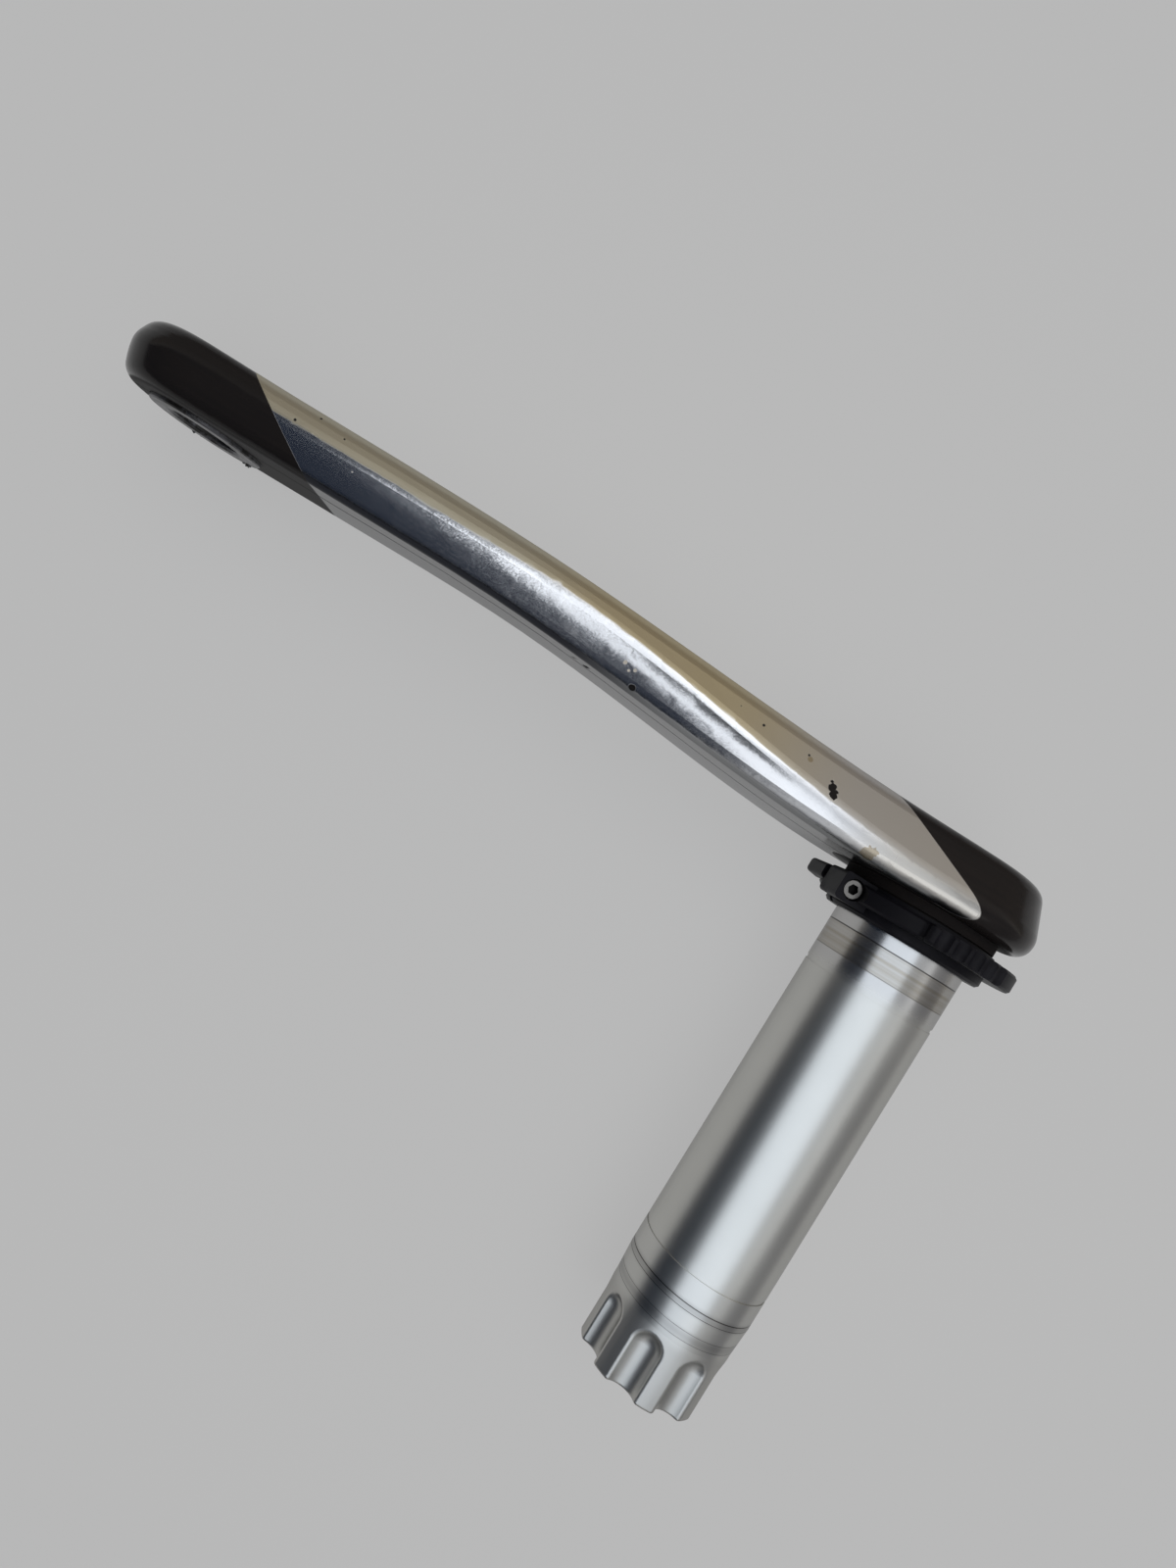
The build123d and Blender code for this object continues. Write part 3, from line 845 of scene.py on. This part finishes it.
# %% Bolt finish
steel_dark, steel_light = (0.28, 0.275, 0.265), (0.40, 0.39, 0.38)
socket_shade_black = (0.012, 0.012, 0.012)
bolt_stretch = (900, 900, 5000)
rough_smooth, rough_worn = 0.34, 0.48
turning_height, turning_strength = 0.01 * MM, 0.4
turning = noise(tree, vectors(tree, "MULTIPLY", spot, bolt_stretch), 1.0, 2.0)
steel_color = mix_colors(tree, turning, steel_dark, steel_light)
# Painted shade: the socket is mixed to near black.
tree.links.new(mix_colors(tree, socket_shade, steel_color, socket_shade_black), inputs["Base Color"])
tree.links.new(mix_values(tree, turning, rough_smooth, rough_worn), inputs["Roughness"])
tree.links.new(bump(tree, turning, turning_height, turning_strength), inputs["Normal"])
dress("pinch_bolt", steel)

# %% [markdown]
# ## The pedal insert
#
# The insert is a bush of dark anodised aluminium. Grease from the pedal covers parts of it, and
# where it does the metal's mirror is gone, so one noise drives both the colour and the metal. The
# lines from turning are as low as the bolt's.

# %% Insert finish
anodised_grey, grease_black = (0.16, 0.16, 0.17), (0.012, 0.011, 0.010)
grease_blotches, grease_shows = 320, (0.44, 0.56)
insert_stretch = (300, 6000, 300)
rough_insert = (0.30, 0.46)
anodised, tree, inputs = new_finish("insert_anodised")
spot = places(tree)[0]
greasy = ramp(tree, noise(tree, spot, grease_blotches, 4.0, 0.6), *grease_shows)
turning = noise(tree, vectors(tree, "MULTIPLY", spot, insert_stretch), 1.0, 2.0)
tree.links.new(mix_colors(tree, greasy, anodised_grey, grease_black), inputs["Base Color"])
tree.links.new(math(tree, "SUBTRACT", 1.0, greasy), inputs["Metallic"])
tree.links.new(mix_values(tree, turning, *rough_insert), inputs["Roughness"])
tree.links.new(bump(tree, turning, turning_height, turning_strength), inputs["Normal"])
dress("pedal_insert", anodised)

# %% [markdown]
# ## Threads
#
# The solids keep plain holes where the real part has threads. Lines in the finish could stand for
# them, but a real ridge looks right from every side. A thread is one ridge wound round the hole, so
# it is built the same way: a small blunt triangle is carried along a helix, four points for each
# step. It grows at its start and fades again at its end. The pedal's thread on the left side of a
# bicycle is left-handed, so that riding does not unscrew it, and the winding direction is a value
# of the helper.


# %% Helper for the ridge's points
def ridge_rows(ridge, centre, radius, depth, pitch, start, hand, steps, steps_per_turn):
    """Points of the ridge, a row of four for each step along the helix."""
    foot, crown = 0.45, 0.06
    fade_rate, least_share = 3, 0.05
    rows = []
    for step in range(steps + 1):
        angle = hand * 2 * pi * step / steps_per_turn
        level = start + pitch * (0.5 + step / steps_per_turn)
        nearest_end = min(step, steps - step)
        fade = min(1, fade_rate * nearest_end / steps_per_turn)
        crest = radius - depth * max(fade, least_share)
        row = []
        for reach, share in ((radius, -foot), (crest, -crown), (crest, crown), (radius, foot)):
            across, up = centre + reach * cos(angle), reach * sin(angle)
            row.append(ridge.verts.new(Vector((across, level + share * pitch, up)) * MM))
        rows.append(row)
    return rows


print("made ridge_rows")


# %% Thread helper
def thread(name, centre, radius, depth, pitch, start, length, hand, material):
    """Ridge wound inside a hole along Y, from start over length; all sizes in millimetres."""
    steps_per_turn = 48
    steps = int((length / pitch - 1) * steps_per_turn)
    ridge = bmesh.new()
    rows = ridge_rows(ridge, centre, radius, depth, pitch, start, hand, steps, steps_per_turn)
    for one, two in zip(rows, rows[1:]):
        for i in range(len(one)):
            j = (i + 1) % len(one)
            ridge.faces.new((one[i], one[j], two[j], two[i]))
    ridge.faces.new(rows[0])
    ridge.faces.new(list(reversed(rows[-1])))
    bmesh.ops.recalc_face_normals(ridge, faces=ridge.faces)
    mesh = bpy.data.meshes.new(name)
    ridge.to_mesh(mesh)
    ridge.free()
    mesh.materials.append(material)
    piece = bpy.data.objects.new(name, mesh)
    bpy.context.scene.collection.objects.link(piece)
    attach(piece, "arm")
    print(name, "has", round(steps / steps_per_turn, 1), "turns")


# %% Threads of the pedal hole and of the spindle's end
arm_length = 172.5
left_hand, right_hand = -1, 1
insert_low, insert_high = [corner[1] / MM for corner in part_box("pedal_insert")]
spindle_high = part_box("spindle")[1][1] / MM
insert_depth = insert_high - insert_low
mouth = 0.6
pedal_radius, pedal_ridge, pedal_pitch = 6.98, 0.55, 1.27
pedal_start, pedal_length = insert_low + mouth, insert_depth - 2 * mouth
bolt_radius, bolt_ridge, bolt_pitch = 8.98, 0.5, 1.0
bolt_start, bolt_length = spindle_high - 22.0, 21.4
thread(
    "pedal_thread", arm_length, pedal_radius, pedal_ridge, pedal_pitch,
    pedal_start, pedal_length, left_hand, anodised,
)
thread(
    "crank_bolt_thread", 0.0, bolt_radius, bolt_ridge, bolt_pitch,
    bolt_start, bolt_length, right_hand, spindle_metal,
)

# %% [markdown]
# ## Old grease
#
# Pedals are greased before they are screwed in, and some of the grease has been pressed out and
# has dried as dark lumps on the insert's rim. Such lumps could be sculpted by hand. Here a lump is
# a ball of small triangles whose points are pushed in and out by a noise, so that no two are alike,
# and a few of them overlap to make each blob.

# %% Shapes of the lumps
grease_spots = (
    (-132, 10.9, 0.55),
    (-127, 11.2, 0.75),
    (-121, 11.0, 0.45),
    (-58, 10.8, 0.50),
    (-66, 10.9, 0.35),
)
grease_level = insert_high - 0.15
wave_middle, wave_size, wave_scale, wave_shift = 0.75, 0.5, 2.2, 7
grease_mesh = bmesh.new()
for number, (angle, reach, size) in enumerate(grease_spots):
    lump = bmesh.ops.create_icosphere(grease_mesh, subdivisions=4, radius=size * MM)["verts"]
    turn_about = angle * pi / 180
    across, up = arm_length + reach * cos(turn_about), reach * sin(turn_about)
    middle = Vector((across, grease_level, up)) * MM
    shift = Vector((wave_shift * number, 0, 0))
    for point in lump:
        wave = wave_middle + wave_size * lumps.noise(point.co / MM * wave_scale + shift)
        point.co = middle + point.co * wave
print("grease lumps", len(grease_spots))

# %% Grease on the arm
grease_data = bpy.data.meshes.new("grease_lumps")
grease_mesh.to_mesh(grease_data)
grease_mesh.free()
grease_data.shade_smooth()
grease_data.materials.append(anodised)
grease = bpy.data.objects.new("grease_lumps", grease_data)
bpy.context.scene.collection.objects.link(grease)
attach(grease, "arm")
print("grease points", len(grease_data.vertices))
